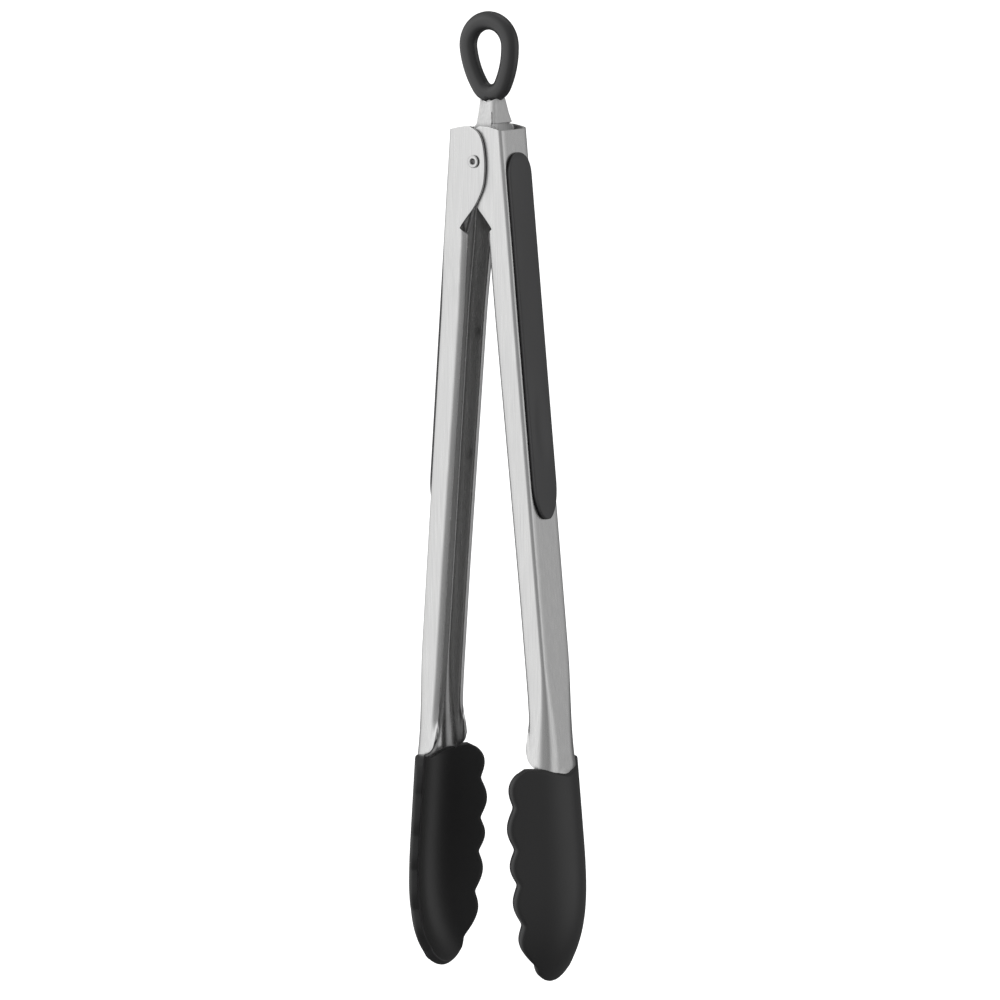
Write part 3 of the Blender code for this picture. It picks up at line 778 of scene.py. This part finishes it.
def eggTorus(name, tube, tubeAcross, section):
    # a torus whose circle is drawn out into the ring's egg shape
    r = ringSizes
    clearSelection()
    bpy.ops.mesh.primitive_torus_add(major_segments=r["around"], minor_segments=section,
                                     major_radius=r["blankRadius"], minor_radius=tube)
    ring = bpy.context.object
    ring.name = name
    line = ringLine()
    for vertex in ring.data.vertices:
        angle = math.atan2(vertex.co.y, vertex.co.x) % (2 * math.pi)
        station = round(angle / (2 * math.pi) * r["around"]) % r["around"]
        point, outward = line[station]
        reach = math.hypot(vertex.co.x, vertex.co.y) - r["blankRadius"]
        vertex.co = point + outward * reach + Vector((0, vertex.co.z * tubeAcross / tube, 0))
    ring.data.update()
    cleaned(ring)
    return ring


def makeRing():
    r = ringSizes
    ring = eggTorus("eggRing", r["tube"], r["tubeAcross"], r["section"])
    lowest = min(point.z for point, outward in ringLine())
    shift = (-pivotHeight - lowest) * math.tan(r["lean"])
    cutWith(ring, eggTorus("coreRoom", r["coreRoom"], r["coreRoom"], r["coreSection"]))
    depth = lowest + r["stemTop"] - r["stemBottom"]
    well = drill(r["stemRoom"], depth, (shift, 0, r["stemBottom"] + depth / 2), (0, 0, 1), r["stemFacets"])
    cutWith(ring, well)
    ring.data.transform(Matrix.Translation(pivotPoint))
    smoothed(ring, r["smooth"])
    dressed(ring, finishes["ringRubber"])
    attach(ring, "pull_tab")
    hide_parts("pull_ring")


makeRing()
print("ring made")


# the lock tab: one folded sheet with two slotted flanges

tabSizes = dict(
    sheet=0.9 * mm, fold=1.7 * mm, webEnd=13.3 * mm, slot=1.95 * mm, travel=7.0 * mm, edgeRound=0.12 * mm,
    crest=1.2 * mm, crestMiddle=1.3 * mm, crestReach=(2.2 * mm, 3.8 * mm), crestBase=0.55 * mm,
    cutterDepth=40.0 * mm, inside=(0.0, 0.0, 0.005), smooth=32,
)
tabStations = [                                # height, half width, flange's left and right edges
    (20.2, 4.1, -0.95, 5.0), (17.5, 4.9, -1.1, 5.6), (13.3, 6.1, -1.3, 6.5), (9.0, 6.1, -4.2, 6.6),
    (4.5, 6.1, -9.6, 9.6), (-8.5, 6.1, -9.6, 9.6), (-12.0, 6.1, -6.0, 6.0),
]
tabRowCounts = (3, 4, 3, 3, 6, 3)              # rows from each station down to the next
tabSlit = [                                    # (out from the pin, height) round the slit beside each fold
    (4.95, 12.3), (5.65, 12.3), (5.62, 13.2), (5.42, 13.7), (4.62, 17.4), (4.34, 17.4), (5.08, 13.7),
]
flangeSteps, foldSteps, backSteps = 8, 6, 6
crestRows, slotSteps = 4, 16
tabColumns = 2 * (flangeSteps + foldSteps) + backSteps


def tabSection(height):
    t = tabSizes
    half, left, right = (straight([(row[0] * mm, row[k] * mm) for row in tabStations], height)
                         for k in (1, 2, 3))
    fold = t["fold"]
    points = [(left + (right - fold - left) * k / flangeSteps, -half) for k in range(flangeSteps + 1)]
    for k in range(1, foldSteps + 1):
        turn = math.pi / 2 * k / foldSteps
        points.append((right - fold * (1 - math.sin(turn)), -half + fold * (1 - math.cos(turn))))
    flat = half - fold
    points += [(right, -flat + 2 * flat * k / backSteps) for k in range(1, backSteps // 2 + 1)]
    return points


def makeTab():
    t = tabSizes
    heights = [tabStations[0][0]]
    for station, count in zip(tabStations[1:], tabRowCounts):
        heights += spread(heights[-1], station[0], count)
    heights = [height * mm for height in heights]
    rows = len(heights) - 1
    webRow = min(range(len(heights)), key=lambda k: abs(heights[k] - t["webEnd"]))
    tab = flatBlank("foldedTab", tabColumns, rows)
    trimBlank(tab, tabColumns, rows, lambda column, row: row >= webRow and
              flangeSteps <= column < tabColumns - flangeSteps)

    def form(column, row):
        height = heights[row]
        section = tabSection(height)
        last = len(section) - 1
        step = column if column <= last else tabColumns - column
        out, across = section[step]
        if row > webRow and step <= flangeSteps:
            out += t["fold"] * step / flangeSteps   # no fold below the web, so the flange is wider
        if row < crestRows:
            # the top edge dips under the ring
            reach = t["crestReach"][0 if out < t["crestMiddle"] else 1]
            lift = t["crest"] * min(((out - t["crestMiddle"]) / reach) ** 2, 1.0) + t["crestBase"]
            height += lift * (1 - row / crestRows)
        return Vector((out, across if column <= last else -across, height))

    press(tab, tabColumns, rows, form)
    faceOutward(tab, t["inside"])
    applied(tab, "SOLIDIFY", thickness=t["sheet"], offset=-1.0, use_even_offset=True, material_offset=1)
    softEdges(tab, t["edgeRound"])
    slot = []
    for centre, start in ((0.0, 0.0), (-t["travel"], math.pi)):
        for k in range(slotSteps + 1):
            turn = start + math.pi * k / slotSteps
            slot.append((t["slot"] * math.cos(turn), centre + t["slot"] * math.sin(turn)))
    slits = [(out * mm, height * mm) for out, height in tabSlit]
    cutWith(tab, plateCutter("pinSlot", slot, t["cutterDepth"]))
    cutWith(tab, plateCutter("foldSlits", slits, t["cutterDepth"]))
    tab.data.transform(Matrix.Translation(pivotPoint))
    smoothed(tab, t["smooth"])
    # the tab's inner faces take the rougher steel with painted shade
    dressed(tab, finishes["tabSteel"], finishes["roughInsidePaintedShade"])
    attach(tab, "pull_tab")
    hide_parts("lock_tab")


makeTab()
print("tab made")


# the torsion spring: a coil on the pin in two halves, each with a leg leaning down towards its own arm

springSizes = dict(
    wire=0.7 * mm, coil=3.5 * mm, pitch=1.75 * mm, turns=3, leg=29.0 * mm, lean=math.radians(17.5),
    perTurn=24, legSteps=8, bendFrom=4.0 * mm, bendTo=27.0 * mm, smooth=60,
)


def springHalf(kind):
    s = springSizes
    side = sides[kind]
    turn = math.pi - 2 * s["lean"] + s["turns"] * 2 * math.pi
    rise = s["pitch"] * turn / (4 * math.pi)
    steps = s["perTurn"] * (s["turns"] + 1) // 2
    points = []
    for k in range(steps + 1):
        share = k / (2 * steps)
        angle = s["lean"] + turn * share
        points.append(Vector((s["coil"] * math.cos(angle), -rise + 2 * rise * share,
                              s["coil"] * math.sin(angle))))
    down = Vector((math.sin(s["lean"]), 0, -math.cos(s["lean"])))
    leg = [points[0] + down * s["leg"] * (1 - k / s["legSteps"]) for k in range(s["legSteps"])]
    points = leg + points
    if side < 0:
        points = [Vector((-p.x, -p.y, p.z)) for p in points]
    curve = bpy.data.curves.new(kind + "SpringHalf", "CURVE")
    curve.dimensions = "3D"
    curve.bevel_depth = s["wire"]
    curve.bevel_resolution = 3
    curve.use_fill_caps = True
    spline = curve.splines.new("POLY")
    spline.points.add(len(points) - 1)
    for point, place in zip(spline.points, points):
        point.co = (*(place + pivotPoint), 1.0)
    spring = bpy.data.objects.new(kind + "SpringHalf", curve)
    bpy.context.scene.collection.objects.link(spring)
    workOn(spring)
    bpy.ops.object.convert(target="MESH")
    spring = bpy.context.object
    cleaned(spring)
    smoothed(spring, s["smooth"])
    dressed(spring, finishes["wire"])
    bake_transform(spring)
    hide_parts("torsion_spring")


for kind in sides:
    springHalf(kind)
print("spring made")


# carried-over pieces keep their CAD shape

carried = {"pivot_rivet": ("pinSteel", "rivet_steel"), "ring_core": ("tabSteel", "tab_steel"),
           "outer_grip_base": ("nylon", "grip_nylon"), "inner_grip_base": ("nylon", "grip_nylon")}
for node, (finish, slotName) in carried.items():
    piece = frame["nodes"][node]
    dressed(piece, finishes[finish])
print("carried over:", ", ".join(carried))


# studio: pale floor, soft lights, dim air with soft glows, and the camera

studio = dict(floorDrop=0.030, floorSize=70.0, floorTone=0.86, floorRough=0.9, floorGlow=0.80, air=0.16,
              aimHeight=-0.17)
glows = [                                      # direction, dark edge, bright edge, brightness
    ((-0.75, -0.66, 0.05), 0.28, 0.92, 1.02),
    ((0.90, 0.42, 0.00), 0.70, 0.98, 0.78),
    ((0.40, -0.90, 0.10), 0.30, 0.95, 0.28),
    ((0.0, 0.1, 1.0), 0.45, 0.95, 0.35),
]
lights = [                                     # name, place, size, power
    ("frontLeft", (-1.9, -1.7, 0.9), 1.6, 4.0),
    ("overhead", (0.2, 0.3, 1.9), 1.2, 3.0),
]
cameraSet = dict(azimuth=34.21, elevation=8.5, roll=0.64, distance=1.8095, below=0.125, lens=181.55,
                 shiftX=0.0066, shiftY=0.0076, sensor=36, clipEnd=100)


def makeFloor():
    clearSelection()
    lowest = cadBox[0].z - studio["floorDrop"]
    bpy.ops.mesh.primitive_plane_add(size=studio["floorSize"], location=(0, 0, lowest))
    floor = bpy.context.object
    floor.name = "studioFloor"
    material, nodes, links, shader = freshMaterial("floor_paper")
    tone = studio["floorTone"]
    shader.inputs["Base Color"].default_value = (tone, tone, tone, 1.0)
    shader.inputs["Roughness"].default_value = studio["floorRough"]
    shader.inputs["Emission Color"].default_value = (1.0, 1.0, 1.0, 1.0)
    shader.inputs["Emission Strength"].default_value = studio["floorGlow"]
    dressed(floor, material)
    floor.visible_glossy = False
    floor.visible_diffuse = False


def makeLight(name, place, size, power):
    data = bpy.data.lights.new(name, "AREA")
    data.size = size
    data.energy = power
    light = bpy.data.objects.new(name, data)
    bpy.context.scene.collection.objects.link(light)
    light.location = place
    aim = Vector((0, 0, studio["aimHeight"])) - Vector(place)
    light.rotation_euler = aim.to_track_quat("-Z", "Y").to_euler()
    light.visible_camera = False


def makeWorld():
    # dim air with a broad soft glow in each of a few directions
    world = bpy.data.worlds.new("studioAir")
    world.use_nodes = True
    nodes, links = world.node_tree.nodes, world.node_tree.links
    place = nodes.new("ShaderNodeTexCoord")
    total = None
    for direction, darkEdge, brightEdge, brightness in glows:
        dot = nodes.new("ShaderNodeVectorMath")
        dot.operation = "DOT_PRODUCT"
        dot.inputs[1].default_value = Vector(direction).normalized()
        links.new(place.outputs["Generated"], dot.inputs[0])
        span = nodes.new("ShaderNodeMapRange")
        span.interpolation_type = "SMOOTHSTEP"
        span.inputs["From Min"].default_value = darkEdge
        span.inputs["From Max"].default_value = brightEdge
        span.inputs["To Max"].default_value = brightness
        links.new(dot.outputs["Value"], span.inputs["Value"])
        add = nodes.new("ShaderNodeMath")
        add.inputs[0].default_value = studio["air"]
        links.new(span.outputs["Result"], add.inputs[1])
        if total is not None:
            links.new(total, add.inputs[0])
        total = add.outputs["Value"]
    links.new(total, nodes["Background"].inputs["Color"])
    bpy.context.scene.world = world


def makeCamera():
    c = cameraSet
    azimuth, elevation, roll = (math.radians(c[k]) for k in ("azimuth", "elevation", "roll"))
    right = Vector((math.cos(azimuth), math.sin(azimuth), 0))
    ahead = Vector((-math.sin(azimuth) * math.cos(elevation), math.cos(azimuth) * math.cos(elevation),
                    -math.sin(elevation)))
    up = right.cross(ahead)
    rolledRight = right * math.cos(roll) - up * math.sin(roll)
    rolledUp = up * math.cos(roll) + right * math.sin(roll)
    place = Matrix((rolledRight, rolledUp, -ahead)).transposed().to_4x4()
    place.translation = pivotPoint - Vector((0, 0, c["below"])) - ahead * c["distance"]
    data = bpy.data.cameras.new("mainCamera")
    data.sensor_width = c["sensor"]
    data.lens = c["lens"]
    data.shift_x = c["shiftX"]
    data.shift_y = c["shiftY"]
    data.clip_end = c["clipEnd"]
    camera = bpy.data.objects.new("mainCamera", data)
    bpy.context.scene.collection.objects.link(camera)
    camera.matrix_world = place
    bpy.context.scene.camera = camera


makeFloor()
for light in lights:
    makeLight(*light)
makeWorld()
makeCamera()
bpy.context.scene.view_settings.view_transform = "Standard"
print("studio set")

clearSelection()
